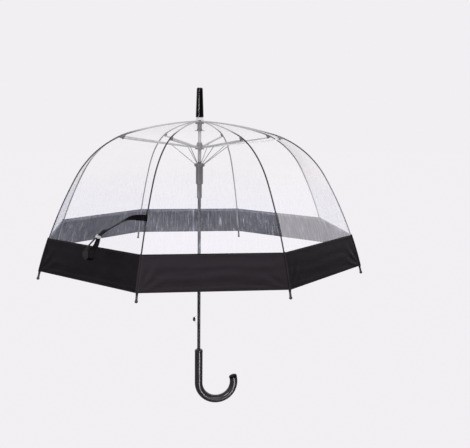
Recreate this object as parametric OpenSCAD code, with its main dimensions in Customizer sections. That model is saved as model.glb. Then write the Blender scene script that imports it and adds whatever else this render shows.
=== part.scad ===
// Clear dome umbrella: eight curved ribs on a sliding runner, opened by a spring round the shaft.
// Frame: +Z runs up the shaft, the crook points to +X, the origin is the middle of the straight grip.
// Each rib works in its own upright plane through the shaft, written here as [distance from axis, height].

/* [Shaft] */
// Outside diameter of the steel shaft
shaft_d = 8; // [7.6:0.1:8.2]
// Wall thickness of the shaft
shaft_wall = 0.8; // [0.6:0.1:1]
// Height of the top of the tip above the middle of the grip
tip_top_z = 710; // [705:1:730]

/* [Handle] */
// Diameter of the grip
grip_d = 20; // [18:0.5:22]
// Length of the straight grip
grip_len = 88; // [80:1:96]
// Radius of the crook's centre line
crook_r = 46; // [42:1:55]
// How far the crook turns
crook_turn = 197; // [185:1:215]

/* [Ribs] */
// Diameter of a rib
rib_d = 3; // [2.6:0.1:3.2]
// Height of the ribs' centre line where it leaves the crown
rib_top_z = 629; // [628:0.5:630]
// Slope of a rib below level at the crown, in degrees
crown_slope = 3; // [2:0.5:4]
// Bend radius over the crown
crown_r = 830; // [700:10:950]
// Turn over the crown, in degrees
crown_turn = 12.5; // [12:0.1:13]
// Bend radius of the shoulder
shoulder_r = 215; // [205:1:225]
// Turn of the shoulder, in degrees
shoulder_turn = 44; // [42:0.5:46]
// Bend radius of the side
side_r = 860; // [800:10:950]
// Turn of the side down to the tip, in degrees
side_turn = 16.2; // [15.5:0.1:17]

/* [Runner] */
// Height of the stretchers' pivots on the open runner
hub_z = 565; // [562:1:568]
// Distance of the stretchers' pivots from the axis
hub_pivot_r = 9.6; // [9.4:0.1:10]
// Height of the struts' pivots on the open sleeve
sleeve_z = 523; // [520:1:525]
// Distance of the struts' pivots from the axis
sleeve_pivot_r = 10.5; // [10.3:0.1:10.8]
// Distance from a stretcher's runner pivot to its strut pivot
strut_at = 68; // [64:1:72]

/* [Cover] */
// Thickness of the clear film
film_t = 0.25; // [0.2:0.05:0.3]
// Thickness of the fabric hem
hem_t = 0.6; // [0.4:0.1:0.6]
// Height of the hem's upper edge
hem_top_z = 367; // [355:1:380]
// Height of the hem's lower edge at a rib
hem_low_z = 294; // [292:1:300]
// Width of the tie strap
strap_w = 14; // [10:1:18]

/* [Hidden] */

// Ribs and gores
rib_count = 8;
rib_step = 360 / rib_count;
half_step = rib_step / 2;
first_rib = -157.5;

// Clearances: round parts that turn, parts fixed on the shaft, parts that slide past each other
run_gap = 0.05;
slide_gap = 0.15;
side_gap = 0.3;

shaft_r = shaft_d / 2;
fixed_bore_r = shaft_r + run_gap;
slide_bore_r = shaft_r + slide_gap;
rib_r = rib_d / 2;
// The rib is a touch thicker over the shoulder, where it bends most
shoulder_rib_r = rib_r + 0.04;

// Rib centre line: three arcs, each tangent to the next. A slope is the angle below level.
function arc_centre(p, r, slope) = p - r * [sin(slope), cos(slope)];
function arc_point(c, r, slope) = c + r * [sin(slope), cos(slope)];
rib_start = [6, rib_top_z];
slope_1 = crown_slope + crown_turn;
slope_2 = slope_1 + shoulder_turn;
slope_3 = slope_2 + side_turn;
crown_c = arc_centre(rib_start, crown_r, crown_slope);
shoulder_c = arc_centre(arc_point(crown_c, crown_r, slope_1), shoulder_r, slope_1);
side_c = arc_centre(arc_point(shoulder_c, shoulder_r, slope_2), side_r, slope_2);

// Points of a line that lies a constant distance outside the ribs' centre line, from crown to tip
function arc_line(c, r, from, to, n) = [for (k = [0:n]) arc_point(c, r, from + (to - from) * k / n)];
function shell_line(out, low_slope) = concat(
    arc_line(crown_c, crown_r + out, crown_slope, slope_1, 5),
    [for (k = [1:12]) arc_point(shoulder_c, shoulder_r + out, slope_1 + shoulder_turn * k / 12)],
    [for (k = [1:8]) arc_point(side_c, side_r + out, slope_2 + (low_slope - slope_2) * k / 8)]
);
function side_line(out, from, to) = arc_line(side_c, side_r + out, from, to, 5);
function side_slope_at(z) = acos((z - side_c[1]) / side_r);

// Rib pivot in the notch, joint under the rib, and the pivots of stretcher and strut
notch_pivot = [8, rib_top_z - 1];
joint_slope = slope_1 + 5;
joint_drop = 6;
joint_on_rib = arc_point(shoulder_c, shoulder_r, joint_slope);
joint = arc_point(shoulder_c, shoulder_r - joint_drop, joint_slope);
hub_pivot = [hub_pivot_r, hub_z];
stretcher_len = norm(joint - hub_pivot);
stretcher_rise = atan2(joint[1] - hub_pivot[1], joint[0] - hub_pivot[0]);
sleeve_pivot = [sleeve_pivot_r, sleeve_z];
strut_top = hub_pivot + strut_at * [cos(stretcher_rise), sin(stretcher_rise)];
strut_len = norm(strut_top - sleeve_pivot);
strut_rise = atan2(strut_top[1] - sleeve_pivot[1], strut_top[0] - sleeve_pivot[0]);

// Crown
notch_top_z = rib_top_z + 1.5;
notch_r = 10.6;
notch_head_h = 8;
notch_neck_r = 5.6;
stop_z = notch_top_z - 25;
stop_r = 12.2;
stop_t = 1.2;
notch_wire_r = 0.65;
film_out = rib_r / cos(half_step) + 0.33;
collar_z = rib_top_z + 2.7;
ferrule_z = rib_top_z + 9.9;
ferrule_low_r = 9.8;
ferrule_top_r = 7.5;
ferrule_dome = 4;
shaft_top_z = tip_top_z - 10;
shaft_low_z = -30;

// Hub and sleeve
hub_r = 11.2;
hub_core_r = 5.3;
hub_h = 9;
hub_neck_h = 8;
tongue_t = 1.3;
sleeve_flange_r = 12.7;
sleeve_core_r = 9;
strut_wire_r = 0.9;
spring_wire_r = 0.4;
spring_r = 4.75;
spring_turns = 11;

// Catch
catch_pivot_z = 100;
catch_pin_r = 0.8;
catch_t = 1.6;
catch_z = 127;

// Cover
film_low_slope = side_slope_at(hem_top_z - 8);
hem_high_slope = side_slope_at(hem_top_z);
hem_low_slope = side_slope_at(hem_low_z);
hem_out = film_out + film_t + 0.05;
strap_out = hem_out + hem_t + 0.35;
strap_t = 1.2;
// The strap's centre line on its gore: [sideways from the gore's middle, height]
strap_line = [[128, 437], [84, 431], [27, 402], [10, 384], [4, 348]];

$fn = 48;

// ---------- helpers ----------

// Turns a part drawn in the X-Z plane to the plane of rib i
module on_rib(i) {
    rotate([0, 0, first_rib + rib_step * (i - 1)]) children();
}

// Turns a part drawn about the X-Z plane to the middle of gore i
module on_gore(i) {
    rotate([0, 0, first_rib + rib_step * (i - 0.5)]) children();
}

// A round bar of radius r along an arc in the X-Z plane
module arc_bar(c, bend_r, from, to, r) {
    translate([c[0], 0, c[1]])
        rotate([90, 0, 0])
            rotate([0, 0, 90 - to])
                rotate_extrude(angle = to - from, $fn = 96)
                    translate([bend_r, 0])
                        circle(r = r, $fn = 24);
}

// A pin or disc of radius r and width w across the X-Z plane, at point p
module cross_pin(p, r, w) {
    translate([p[0], 0, p[1]])
        rotate([90, 0, 0])
            cylinder(r = r, h = w, center = true);
}

// Moves a part drawn along +X to start at p and rise at an angle
module along(p, rise) {
    translate([p[0], 0, p[1]])
        rotate([0, -rise, 0])
            children();
}

// Slots of width w cut outward from radius r through heights low to high, one per rib
module rib_slots(r, w, low, high) {
    reach = 20;
    for (i = [1:rib_count])
        on_rib(i)
            translate([r, -w / 2, low])
                cube([reach, w, high - low]);
}

// A shell that follows the ribs' outline, straight across the gore, between two outlines in one polygon
module gore_shell(inner, outer) {
    points = concat(inner, [for (k = [len(outer) - 1:-1:0]) outer[k]]);
    flat = [for (p = points) [p[0] * cos(half_step), p[1]]];
    across = 360;
    intersection() {
        rotate([90, 0, 0])
            linear_extrude(height = across, center = true)
                polygon(flat);
        gore_wedge();
    }
}

// The upright wedge of space between two ribs, just short of each rib's plane
module gore_wedge() {
    edge = 0.15;
    far = 440;
    low_z = 200;
    tip = edge / sin(half_step);
    translate([0, 0, low_z])
        linear_extrude(height = tip_top_z - low_z)
            polygon([
                [tip, 0],
                [far + tip, -far * tan(half_step)],
                [far + tip, far * tan(half_step)]
            ]);
}

// ---------- fixed parts ----------

module shaft() {
    slot_w = catch_t + 0.8;
    slot_h = 40;
    color("dimgray")
        difference() {
            translate([0, 0, shaft_low_z])
                cylinder(r = shaft_r, h = shaft_top_z - shaft_low_z);
            translate([0, 0, shaft_low_z - 1])
                cylinder(r = shaft_r - shaft_wall, h = shaft_top_z - shaft_low_z + 2);
            translate([-shaft_r - 1, -slot_w / 2, catch_pivot_z + 3])
                cube([shaft_r + 1, slot_w, slot_h]);
            cross_pin([0, catch_pivot_z], catch_pin_r + run_gap, shaft_d + 2);
        }
}

module ferrule() {
    dome = [for (k = [0:6])
        [(ferrule_top_r - 2) + 2 * cos(15 * k), tip_top_z - ferrule_dome + ferrule_dome * sin(15 * k)]];
    color("black")
        rotate_extrude($fn = 64)
            polygon(concat(
                [[0, shaft_top_z], [fixed_bore_r, shaft_top_z], [fixed_bore_r, ferrule_z]],
                [[ferrule_low_r - 0.5, ferrule_z], [ferrule_low_r, ferrule_z + 1]],
                dome,
                [[0, tip_top_z]]
            ));
}

module top_collar() {
    color("white", 0.4)
        rotate_extrude($fn = 64)
            polygon([
                [fixed_bore_r, collar_z], [10, collar_z], [10.4, collar_z + 0.5], [10.4, collar_z + 1.3],
                [8.4, collar_z + 2.2], [7.8, ferrule_z], [fixed_bore_r, ferrule_z]
            ]);
}

// Slotted head for the ribs, a neck below it, and the disc that stops the runner
module top_notch() {
    slot_w = rib_d + 2 * side_gap;
    foot_r = 6.8;
    foot_h = 5;
    wire_room = notch_wire_r + 0.3;
    wire_corner = notch_pivot[0] / cos(half_step);
    color("dimgray")
        difference() {
            union() {
                translate([0, 0, notch_top_z - notch_head_h])
                    cylinder(r = notch_r, h = notch_head_h);
                translate([0, 0, stop_z])
                    cylinder(r = notch_neck_r, h = notch_top_z - notch_head_h - stop_z + 1);
                translate([0, 0, stop_z])
                    cylinder(r = foot_r, h = foot_h);
                translate([0, 0, stop_z])
                    cylinder(r = stop_r, h = stop_t);
            }
            translate([0, 0, stop_z - 1])
                cylinder(r = fixed_bore_r, h = notch_top_z - stop_z + 2);
            rib_slots(notch_neck_r, slot_w, notch_top_z - notch_head_h - 1, notch_top_z + 1);
            translate([0, 0, notch_pivot[1] - wire_room])
                difference() {
                    cylinder(r = wire_corner + wire_room, h = 10);
                    translate([0, 0, -1])
                        cylinder(r = notch_pivot[0] - wire_room, h = 12);
                }
        }
}

// Eight straight runs joined by ball corners, one run through each rib's eye
module notch_wire() {
    run = 2 * notch_pivot[0] * tan(half_step);
    corner = notch_pivot[0] / cos(half_step);
    color("silver")
        union() {
            for (i = [1:rib_count]) {
                on_rib(i)
                    cross_pin(notch_pivot, notch_wire_r, run);
                on_gore(i)
                    translate([corner, 0, notch_pivot[1]])
                        sphere(r = notch_wire_r + 0.1);
            }
        }
}

// Low domed cap with a rounded rim, standing on the crook's end
module crook_cap(r) {
    rim = 1.6;
    rise = 0.9;
    round_edge = [for (k = [0:4]) [r - rim + rim * cos(22.5 * k), 1 + rim * sin(22.5 * k)]];
    rotate_extrude($fn = 48)
        polygon(concat([[0, -0.5], [r, -0.5]], round_edge, [[r / 2, 1 + rim + rise * 0.8], [0, 1 + rim + rise]]));
}

module handle() {
    grip_r = grip_d / 2;
    bend_r = grip_r - 0.05;
    chamfer = 2;
    lap = 0.5;
    end_turn = crook_turn - 180;
    crook_z = -grip_len / 2;
    color("black")
        difference() {
            union() {
                translate([0, 0, crook_z])
                    cylinder(r = grip_r, h = grip_len);
                translate([0, 0, grip_len / 2])
                    cylinder(r1 = grip_r, r2 = grip_r - 1.5, h = chamfer);
                translate([crook_r, 0, crook_z])
                    rotate([90, 0, 0])
                        rotate([0, 0, 180 - lap])
                            rotate_extrude(angle = crook_turn + lap, $fn = 96)
                                translate([crook_r, 0])
                                    circle(r = bend_r);
                translate([crook_r * (1 + cos(end_turn)), 0, crook_z + crook_r * sin(end_turn)])
                    rotate([0, -end_turn, 0])
                        crook_cap(grip_r);
            }
            translate([0, 0, shaft_low_z])
                cylinder(r = fixed_bore_r, h = grip_len);
        }
}

// ---------- moving parts on the shaft ----------

module upper_runner() {
    neck_low_r = 8;
    neck_top_r = 6;
    color("dimgray")
        difference() {
            union() {
                translate([0, 0, hub_z - hub_h / 2])
                    cylinder(r = hub_r, h = hub_h);
                translate([0, 0, hub_z + hub_h / 2])
                    cylinder(r1 = neck_low_r, r2 = neck_top_r, h = hub_neck_h);
            }
            translate([0, 0, hub_z - hub_h])
                cylinder(r = slide_bore_r, h = 2 * hub_h + hub_neck_h);
            rib_slots(hub_core_r, tongue_t + 2 * side_gap, hub_z - hub_h, hub_z + hub_h + hub_neck_h);
        }
}

module lower_sleeve() {
    flange_top = sleeve_z + 2.4;
    flange_h = 7;
    barrel_r = 8.8;
    barrel_h = 50;
    shoulder_h = 2;
    tail_r = 6;
    sleeve_h = 86;
    color("dimgray")
        difference() {
            union() {
                translate([0, 0, flange_top - flange_h])
                    cylinder(r = sleeve_flange_r, h = flange_h);
                translate([0, 0, flange_top - barrel_h])
                    cylinder(r = barrel_r, h = barrel_h - flange_h + 1);
                translate([0, 0, flange_top - barrel_h - shoulder_h])
                    cylinder(r1 = tail_r, r2 = barrel_r, h = shoulder_h);
                translate([0, 0, flange_top - sleeve_h])
                    cylinder(r = tail_r, h = sleeve_h - barrel_h);
            }
            translate([0, 0, flange_top - sleeve_h - 1])
                cylinder(r = slide_bore_r, h = sleeve_h + 2);
            rib_slots(sleeve_core_r, 2 * (strut_wire_r + side_gap), flange_top - flange_h - 1, flange_top + 1);
        }
}

// Coil spring between the runner and the sleeve, swept as a six-sided wire
module main_spring() {
    low = sleeve_z + 2.4 + 0.3 + spring_wire_r;
    high = hub_z - hub_h / 2 - 0.3 - spring_wire_r;
    sides = 6;
    per_turn = 14;
    rings = spring_turns * per_turn;
    points = [
        for (k = [0:rings], s = [0:sides - 1])
            let (
                turn = 360 * k / per_turn,
                r = spring_r + spring_wire_r * cos(60 * s),
                z = low + (high - low) * k / rings + spring_wire_r * sin(60 * s)
            )
            [r * cos(turn), r * sin(turn), z]
    ];
    walls = [
        for (k = [0:rings - 1], s = [0:sides - 1])
            let (a = k * sides + s, b = k * sides + (s + 1) % sides)
            each [[a, a + sides, b], [b, a + sides, b + sides]]
    ];
    ends = [
        [for (s = [0:sides - 1]) s],
        [for (s = [sides - 1:-1:0]) rings * sides + s]
    ];
    color("silver")
        polyhedron(points = points, faces = concat(walls, ends), convexity = 10);
}

// Button on a bent spring strip that turns on a pin inside the shaft
module catch() {
    color("black")
        union() {
            cross_pin([0, catch_pivot_z], catch_pin_r, shaft_d);
            cross_pin([0, catch_pivot_z], 2, catch_t);
            rotate([90, 0, 0])
                linear_extrude(height = catch_t, center = true)
                    polygon([
                        [-1.6, 99.5], [1, 101], [-1, 105.5], [-8.6, 121.5], [-8.6, 132.5],
                        [-2.4, 138.5], [-2.8, 139.4], [-9.6, 133.4], [-9.6, 121.3], [-3, 106]
                    ]);
            translate([-11.7, 0, catch_z])
                rotate([0, 4, 0])
                    intersection() {
                        cube([6.4, 6, 11], center = true);
                        sphere(r = 6.1);
                    }
        }
}

// ---------- one set per rib ----------

module rib(i) {
    lap = 0.2;
    color("darkslategray")
        on_rib(i)
            difference() {
                union() {
                    arc_bar(crown_c, crown_r, crown_slope + 0.24, slope_1, rib_r);
                    arc_bar(shoulder_c, shoulder_r, slope_1 - lap, slope_2 + lap, shoulder_rib_r);
                    arc_bar(side_c, side_r, slope_2, slope_3, rib_r);
                    cross_pin(notch_pivot, 2, rib_d - 0.4);
                }
                cross_pin(notch_pivot, notch_wire_r + run_gap, rib_d + 2);
            }
}

// Clip with the stretcher's pin, and the cap on the rib's end
module rib_fittings(i) {
    ear_gap = 2.6;
    clip_w = 4.4;
    clip_len = 12;
    ear_r = 2.4;
    saddle_t = 2.8;
    cap_from = slope_3 - 0.75;
    cap_ball_r = 3.4;
    tip_end = arc_point(side_c, side_r, slope_3);
    color("black")
        on_rib(i) {
            difference() {
                along(joint_on_rib, -joint_slope)
                    union() {
                        translate([-clip_len / 2, -clip_w / 2, -4])
                            cube([clip_len, clip_w, 4.4]);
                        translate([-ear_r, -clip_w / 2, -joint_drop])
                            cube([2 * ear_r, clip_w, joint_drop]);
                        translate([0, 0, -joint_drop])
                            rotate([90, 0, 0])
                                cylinder(r = ear_r, h = clip_w, center = true);
                    }
                arc_bar(shoulder_c, shoulder_r, slope_1, slope_2, shoulder_rib_r + run_gap);
                along(joint_on_rib, -joint_slope)
                    translate([-clip_len, -ear_gap / 2, -4 * joint_drop])
                        cube([2 * clip_len, ear_gap, 4 * joint_drop - saddle_t]);
            }
            cross_pin(joint, 0.8, clip_w);
            difference() {
                union() {
                    arc_bar(side_c, side_r, cap_from, slope_3, rib_r + 0.8);
                    translate([tip_end[0], 0, tip_end[1]])
                        sphere(r = cap_ball_r);
                }
                arc_bar(side_c, side_r, cap_from - 1, slope_3, rib_r + run_gap);
            }
        }
}

// Pressed channel, open below, with a flat tongue and eye at each end and a window over the strut's eye
module stretcher(i) {
    w = 4.2;
    wall = 0.8;
    deep = 1.7;
    eye_room = 2;
    from = 14;
    end_tongue = 13;
    run = stretcher_len - from - end_tongue;
    color("silver")
        on_rib(i)
            along(hub_pivot, stretcher_rise)
                difference() {
                    union() {
                        difference() {
                            translate([from, -w / 2, -deep])
                                cube([run, w, 2 * deep]);
                            translate([from + 4, -w / 2 + wall, -deep - 1])
                                cube([run - 8, w - 2 * wall, 2 * deep + 1 - wall]);
                            translate([strut_at - eye_room, -w / 2 + wall, 0])
                                cube([2 * eye_room, w - 2 * wall, deep + 1]);
                        }
                        translate([0, -tongue_t / 2, -1.3])
                            cube([from + 1, tongue_t, 2.6]);
                        cross_pin([0, 0], 1.5, tongue_t);
                        translate([from + run - 1, -1.1, -1.5])
                            cube([end_tongue + 1, 2.2, 3]);
                        cross_pin([stretcher_len, 0], 1.9, 2.2);
                        cross_pin([strut_at, 0], 0.6, w);
                    }
                    cross_pin([0, 0], 0.5, 4);
                    cross_pin([stretcher_len, 0], 0.8 + run_gap, 6);
                }
}

module strut(i) {
    color("silver")
        on_rib(i)
            along(sleeve_pivot, strut_rise)
                difference() {
                    union() {
                        rotate([0, 90, 0])
                            cylinder(r = strut_wire_r, h = strut_len, $fn = 24);
                        cross_pin([0, 0], 1.3, 1.6);
                        cross_pin([strut_len, 0], 1.5, 2);
                    }
                    cross_pin([0, 0], 0.45, 4);
                    cross_pin([strut_len, 0], 0.6 + run_gap, 4);
                }
}

// Clear film from the crown to behind the hem's upper edge
module gore(i) {
    color("lightblue", 0.3)
        on_gore(i)
            gore_shell(shell_line(film_out, film_low_slope), shell_line(film_out + film_t, film_low_slope));
}

module hem(i) {
    color("black")
        on_gore(i)
            gore_shell(
                side_line(hem_out, hem_high_slope, hem_low_slope),
                side_line(hem_out + hem_t, hem_high_slope, hem_low_slope)
            );
}

// ---------- tie ----------

// Edge of the strap, half its width to one side of the centre line, with mitred corners
function strap_edge(side) = [
    for (k = [0:len(strap_line) - 1])
        let (
            a = strap_line[max(k - 1, 0)],
            p = strap_line[k],
            b = strap_line[min(k + 1, len(strap_line) - 1)],
            in_turn = k == 0 ? atan2(b[1] - p[1], b[0] - p[0]) : atan2(p[1] - a[1], p[0] - a[0]),
            out_turn = k == len(strap_line) - 1 ? in_turn : atan2(b[1] - p[1], b[0] - p[0]),
            bend = (out_turn - in_turn + 540) % 360 - 180,
            normal = in_turn + bend / 2 + 90
        )
        p + side * strap_w / 2 / cos(bend / 2) * [cos(normal), sin(normal)]
];

module tie_strap() {
    low_slope = side_slope_at(330);
    near = 180;
    depth = 260;
    right_edge = strap_edge(-1);
    color("black")
        on_gore(1)
            intersection() {
                gore_shell(shell_line(strap_out, low_slope), shell_line(strap_out + strap_t, low_slope));
                translate([near, 0, 0])
                    rotate([90, 0, 90])
                        linear_extrude(height = depth)
                            polygon(concat(
                                strap_edge(1),
                                [for (k = [len(right_edge) - 1:-1:0]) right_edge[k]]
                            ));
            }
}

module strap_snap() {
    spot = strap_line[3];
    slope = side_slope_at(spot[1]);
    p = arc_point(side_c, side_r + strap_out + strap_t + 0.25, slope);
    color("silver")
        on_gore(1)
            translate([p[0] * cos(half_step), spot[0], p[1]])
                rotate([0, 90 - atan(cos(half_step) / tan(slope)), 0])
                    cylinder(r = 5, h = 2);
}

shaft();
ferrule();
top_collar();
top_notch();
notch_wire();
upper_runner();
lower_sleeve();
main_spring();
handle();
catch();
tie_strap();
strap_snap();
for (i = [1:rib_count]) {
    rib(i);
    rib_fittings(i);
    stretcher(i);
    strut(i);
    gore(i);
    hem(i);
}
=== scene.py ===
import math
import bpy
import numpy as np
from mathutils import Matrix, Vector, noise


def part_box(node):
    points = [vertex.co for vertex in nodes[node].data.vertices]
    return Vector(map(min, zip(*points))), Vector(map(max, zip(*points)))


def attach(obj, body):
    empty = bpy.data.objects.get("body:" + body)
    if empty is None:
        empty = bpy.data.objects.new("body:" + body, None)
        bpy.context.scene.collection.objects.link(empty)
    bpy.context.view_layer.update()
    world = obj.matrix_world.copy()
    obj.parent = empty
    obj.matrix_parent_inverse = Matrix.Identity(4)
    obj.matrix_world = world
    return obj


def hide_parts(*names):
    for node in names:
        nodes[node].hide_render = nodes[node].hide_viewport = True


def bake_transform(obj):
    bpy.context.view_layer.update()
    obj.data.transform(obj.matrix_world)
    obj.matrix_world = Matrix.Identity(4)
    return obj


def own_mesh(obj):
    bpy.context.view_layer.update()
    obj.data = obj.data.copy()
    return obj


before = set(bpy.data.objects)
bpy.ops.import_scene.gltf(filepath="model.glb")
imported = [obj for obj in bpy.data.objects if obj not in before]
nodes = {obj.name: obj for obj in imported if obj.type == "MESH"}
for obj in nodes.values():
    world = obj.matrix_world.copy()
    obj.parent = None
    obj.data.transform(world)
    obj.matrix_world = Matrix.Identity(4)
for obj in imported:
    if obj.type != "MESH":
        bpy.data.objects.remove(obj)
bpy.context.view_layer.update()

# ---------------------------------------------------------------- shape of the ribs and the cover, in metres
# A rib's centre line in its own upright plane: three arcs, each tangent to the next.
# A slope is the angle below level.
RIB_START = (0.006, 0.629)  # distance from the shaft's axis, height
CROWN_SLOPE = 3.0
ARCS = ((0.830, 12.5), (0.215, 44.0), (0.860, 16.2))  # radius, degrees
HALF = math.radians(22.5)  # half the angle between two ribs
COS_HALF, SIN_HALF = math.cos(HALF), math.sin(HALF)
FILM_OUT = 0.00208  # film and hem lie this far outside the ribs' line
HEM_OUT = 0.00228
HEM_THICK = 0.00045
HEM_TOP_Z = 0.367
HEM_LOW_Z = 0.294
FILM_LOW_Z = 0.359


def rib_azimuth(i):
    """Direction of rib i, seen from above."""
    return math.radians(-157.5 + 45 * (i - 1))


def gore_azimuth(i):
    """Direction of the middle of gore i, between rib i and the next."""
    return math.radians(-135 + 45 * (i - 1))


def arc_table():
    """For each arc: length before it, radius, its centre and its first slope."""
    rows, at, slope, p = [], 0.0, math.radians(CROWN_SLOPE), np.array(RIB_START)
    for radius, turn in ARCS:
        centre = p - radius * np.array([math.sin(slope), math.cos(slope)])
        rows.append((at, radius, centre, slope))
        at += radius * math.radians(turn)
        slope += math.radians(turn)
        p = centre + radius * np.array([math.sin(slope), math.cos(slope)])
    return rows, at


ARC_ROWS, RIB_LENGTH = arc_table()


def on_line(s, out=0.0):
    """(distance from the axis, height, slope) at length s along a rib's line, and out metres outside it."""
    row = [r for r in ARC_ROWS if s >= r[0]][-1] if s > 0 else ARC_ROWS[0]
    before, radius, centre, slope = row
    slope = slope + (s - before) / radius
    return (
        centre[0] + (radius + out) * math.sin(slope),
        centre[1] + (radius + out) * math.cos(slope),
        slope,
    )


def length_at(z, out=0.0):
    """Length along the line at which it is at height z."""
    low, high = 0.0, RIB_LENGTH
    for _ in range(50):
        mid = (low + high) / 2
        low, high = (mid, high) if on_line(mid, out)[1] > z else (low, mid)
    return (low + high) / 2


def turned(azimuth, x, y, z):
    """A point x outwards and y sideways in the upright plane at that azimuth."""
    c, s = math.cos(azimuth), math.sin(azimuth)
    return (x * c - y * s, x * s + y * c, z)


# ---------------------------------------------------------------- building meshes
def piece(name, points, faces, pattern=None):
    """A smooth-shaded mesh. pattern gives each point its coordinates for the material, in metres."""
    mesh = bpy.data.meshes.new(name)
    mesh.from_pydata([tuple(map(float, p)) for p in points], [], [tuple(f) for f in faces])
    if pattern is not None:
        layer = mesh.attributes.new("pattern", "FLOAT_VECTOR", "POINT")
        layer.data.foreach_set("vector", np.asarray(pattern, np.float32).ravel())
    mesh.polygons.foreach_set("use_smooth", [True] * len(mesh.polygons))
    mesh.update()
    made = bpy.data.objects.new(name, mesh)
    bpy.context.scene.collection.objects.link(made)
    return made


def grid_faces(rows, columns, first=0, close=False, flip=False):
    """Faces between rows of points. close joins the last column to the first one."""
    faces = []
    for r in range(rows - 1):
        for c in range(columns if close else columns - 1):
            a = first + r * columns + c
            b = first + r * columns + (c + 1) % columns
            f = (a, b, b + columns, a + columns)
            faces.append(f[::-1] if flip else f)
    return faces


def shell(name, outer, inner, pattern, reverse=0.0):
    """A closed thin shell between two grids of points, shaped (rows, columns, 3).

    reverse is added to the pattern's third number on the inner side.
    """
    rows, columns = outer.shape[:2]
    n = rows * columns
    points = np.concatenate([outer.reshape(-1, 3), inner.reshape(-1, 3)])
    faces = grid_faces(rows, columns) + grid_faces(rows, columns, n, flip=True)
    rim = (
        [r * columns for r in range(rows)]
        + [(rows - 1) * columns + c for c in range(1, columns)]
        + [r * columns + columns - 1 for r in range(rows - 2, -1, -1)]
        + [c for c in range(columns - 2, 0, -1)]
    )
    for k in range(len(rim)):
        a, b = rim[k], rim[(k + 1) % len(rim)]
        faces.append((a, b, b + n, a + n))
    flat = pattern.reshape(-1, 3)
    return piece(name, points, faces, np.concatenate([flat, flat + np.array([0.0, 0.0, reverse])]))


class Batch:
    """Several small shapes gathered in one mesh."""

    def __init__(self):
        self.points, self.faces, self.pattern = [], [], []

    def add(self, points, faces, pattern=None):
        """Take in one shape, with faces numbered from its own first point."""
        first = len(self.points)
        self.points.extend(points)
        self.faces.extend(tuple(first + k for k in f) for f in faces)
        self.pattern.extend(pattern if pattern is not None else [(0, 0, 0)] * len(points))

    def tube(self, path, radius, sides=8, closed=False):
        """A tube along a path. closed joins its end to its start."""
        path = [Vector(p) for p in path]
        count = len(path)
        rings, along = [], 0.0
        side = None
        for k in range(count):
            before = path[k - 1] if (k or closed) else path[k]
            after = path[(k + 1) % count] if (k < count - 1 or closed) else path[k]
            way = (after - before).normalized()
            if side is None:
                side = way.orthogonal().normalized()
            side = (side - way * side.dot(way)).normalized()
            up = way.cross(side)
            along += (path[k] - path[k - 1]).length if k else 0.0
            for q in range(sides):
                turn = 2 * math.pi * q / sides
                p = path[k] + side * radius * math.cos(turn) + up * radius * math.sin(turn)
                rings.append((tuple(p), (along, radius * turn, 0.0)))
        points = [r[0] for r in rings]
        faces = grid_faces(count, sides, close=True)
        if closed:
            last = (count - 1) * sides
            faces += [(last + q, last + (q + 1) % sides, (q + 1) % sides, q) for q in range(sides)]
        else:
            faces.append(tuple(range(sides))[::-1])
            faces.append(tuple(range((count - 1) * sides, count * sides)))
        self.add(points, faces, [r[1] for r in rings])

    def dash(self, start, end, normal, width):
        """One stitch: a low pillow from start to end lying on a surface with that normal."""
        a, b, n = Vector(start), Vector(end), Vector(normal).normalized()
        way = (b - a).normalized()
        side = n.cross(way) * width / 2
        lift = n * width * 0.55
        mid = (a + b) / 2
        points = [a, a + (mid - a) * 0.35 + side + lift * 0.4, mid + (b - mid) * 0.65 + side + lift * 0.4, b,
                  mid + (b - mid) * 0.65 - side + lift * 0.4, a + (mid - a) * 0.35 - side + lift * 0.4,
                  mid + lift * 1.3, mid - lift * 0.6]
        faces = [(0, 1, 6), (1, 2, 6), (2, 3, 6), (3, 4, 6), (4, 5, 6), (5, 0, 6),
                 (1, 0, 7), (2, 1, 7), (3, 2, 7), (4, 3, 7), (5, 4, 7), (0, 5, 7)]
        self.add([tuple(p) for p in points], [f[::-1] for f in faces])

    def lathe(self, profile, matrix, sides=32):
        """A turned shape: profile is (radius, height) from the lower middle to the upper middle."""
        points, faces = [], []
        for r, h in profile:
            for q in range(sides):
                turn = 2 * math.pi * q / sides
                points.append(tuple(matrix @ Vector((r * math.cos(turn), r * math.sin(turn), h))))
        faces = grid_faces(len(profile), sides, close=True)
        faces.append(tuple(range(sides))[::-1])
        faces.append(tuple(range((len(profile) - 1) * sides, len(profile) * sides)))
        self.add(points, faces)

    def make(self, name):
        return piece(name, self.points, self.faces, self.pattern)


def spline(points, steps):
    """Points along a smooth curve through the given ones."""
    pts = [np.array(p, float) for p in points]
    pts = [2 * pts[0] - pts[1]] + pts + [2 * pts[-1] - pts[-2]]
    out = []
    for k in range(1, len(pts) - 2):
        a, b, c, d = pts[k - 1 : k + 3]
        for q in range(steps):
            t = q / steps
            second = 2 * a - 5 * b + 4 * c - d
            third = 3 * b - a - 3 * c + d
            out.append(0.5 * (2 * b + (c - a) * t + second * t * t + third * t ** 3))
    out.append(pts[-2])
    return np.array(out)


def wave(x, y, seed, scale):
    """Smooth noise from -1 to 1."""
    return noise.noise(Vector((x / scale, y / scale, seed * 7.31)))


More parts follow.
